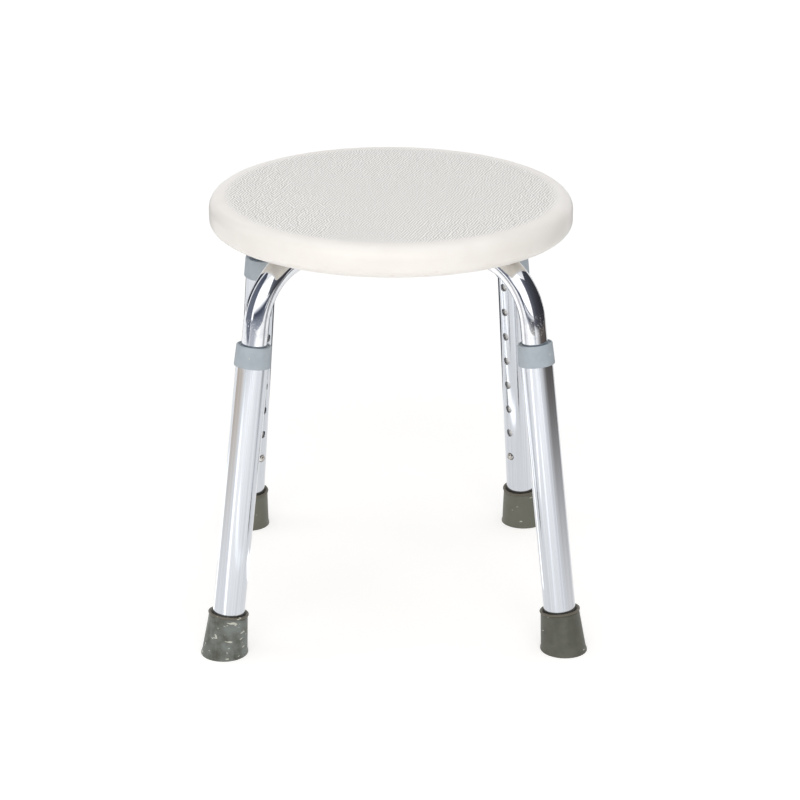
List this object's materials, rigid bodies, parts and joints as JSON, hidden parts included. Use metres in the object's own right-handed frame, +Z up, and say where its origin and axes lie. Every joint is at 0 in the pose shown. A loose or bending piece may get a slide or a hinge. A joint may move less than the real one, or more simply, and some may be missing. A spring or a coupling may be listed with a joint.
{
  "type": "shower stool",
  "caption": "Round shower stool with a hollow moulded seat on crossed aluminium tubes and height-adjustable splayed legs locked by snap buttons, on rubber feet.",
  "frame": {"origin": "on the floor, under the middle of the whole stool at its lowest setting", "axes": "+Z up, +X to the right and +Y to the back, seen from the picture's side"},
  "size_m": [0.3382, 0.3291, 0.372],
  "materials": {
    "seat_plastic": "moulded, fine pebble grain on the top, smooth rim",
    "tube_aluminium": "polished",
    "leg_aluminium": "satin anodised",
    "collar_plastic": "moulded, matte",
    "foot_rubber": "moulded, matte",
    "guide_plastic": "moulded",
    "clip_steel": "plated spring steel",
    "bolt_steel": "zinc plated",
    "insert_brass": "turned"
  },
  "bodies": {
    "frame": {"seat": "seat_plastic", "cross_tube_upper": "tube_aluminium", "cross_tube_lower": "tube_aluminium", "seat_bolts": "bolt_steel", "seat_inserts": "insert_brass", "saddle_washers": "bolt_steel", "centre_washer": "bolt_steel", "tube_guide_front_left": "guide_plastic", "tube_guide_front_right": "guide_plastic", "tube_guide_rear_right": "guide_plastic", "tube_guide_rear_left": "guide_plastic"},
    "leg_front_left": {"leg_tube_front_left": "leg_aluminium", "leg_collar_front_left": "collar_plastic", "foot_front_left": "foot_rubber", "foot_washer_front_left": "bolt_steel"},
    "button_front_left": {"snap_clip_front_left": "clip_steel"},
    "leg_front_right": {"leg_tube_front_right": "leg_aluminium", "leg_collar_front_right": "collar_plastic", "foot_front_right": "foot_rubber", "foot_washer_front_right": "bolt_steel"},
    "button_front_right": {"snap_clip_front_right": "clip_steel"},
    "leg_rear_right": {"leg_tube_rear_right": "leg_aluminium", "leg_collar_rear_right": "collar_plastic", "foot_rear_right": "foot_rubber", "foot_washer_rear_right": "bolt_steel"},
    "button_rear_right": {"snap_clip_rear_right": "clip_steel"},
    "leg_rear_left": {"leg_tube_rear_left": "leg_aluminium", "leg_collar_rear_left": "collar_plastic", "foot_rear_left": "foot_rubber", "foot_washer_rear_left": "bolt_steel"},
    "button_rear_left": {"snap_clip_rear_left": "clip_steel"}
  },
  "joints": [
    {"name": "leg_slide_front_left", "type": "slide", "parent": "frame", "child": "leg_front_left", "axis": [-0.1045, -0.1045, -0.989], "range_m": [0, 0.175]},
    {"name": "button_press_front_left", "type": "slide", "parent": "frame", "child": "button_front_left", "axis": [-0.6993, -0.6993, 0.1478], "range_m": [0, 0.0042], "stiffness_N_per_m": 2000, "springref_m": -0.001, "deforming": ["snap_clip_front_left"]},
    {"name": "leg_slide_front_right", "type": "slide", "parent": "frame", "child": "leg_front_right", "axis": [0.1045, -0.1045, -0.989], "range_m": [0, 0.175]},
    {"name": "button_press_front_right", "type": "slide", "parent": "frame", "child": "button_front_right", "axis": [0.6993, -0.6993, 0.1478], "range_m": [0, 0.0042], "stiffness_N_per_m": 2000, "springref_m": -0.001, "deforming": ["snap_clip_front_right"]},
    {"name": "leg_slide_rear_right", "type": "slide", "parent": "frame", "child": "leg_rear_right", "axis": [0.0616, 0.0616, -0.9962], "range_m": [0, 0.175]},
    {"name": "button_press_rear_right", "type": "slide", "parent": "frame", "child": "button_rear_right", "axis": [0.7044, 0.7044, 0.0872], "range_m": [0, 0.0042], "stiffness_N_per_m": 2000, "springref_m": -0.001, "deforming": ["snap_clip_rear_right"]},
    {"name": "leg_slide_rear_left", "type": "slide", "parent": "frame", "child": "leg_rear_left", "axis": [-0.0616, 0.0616, -0.9962], "range_m": [0, 0.175]},
    {"name": "button_press_rear_left", "type": "slide", "parent": "frame", "child": "button_rear_left", "axis": [-0.7044, 0.7044, 0.0872], "range_m": [0, 0.0042], "stiffness_N_per_m": 2000, "springref_m": -0.001, "deforming": ["snap_clip_rear_left"]}
  ]
}
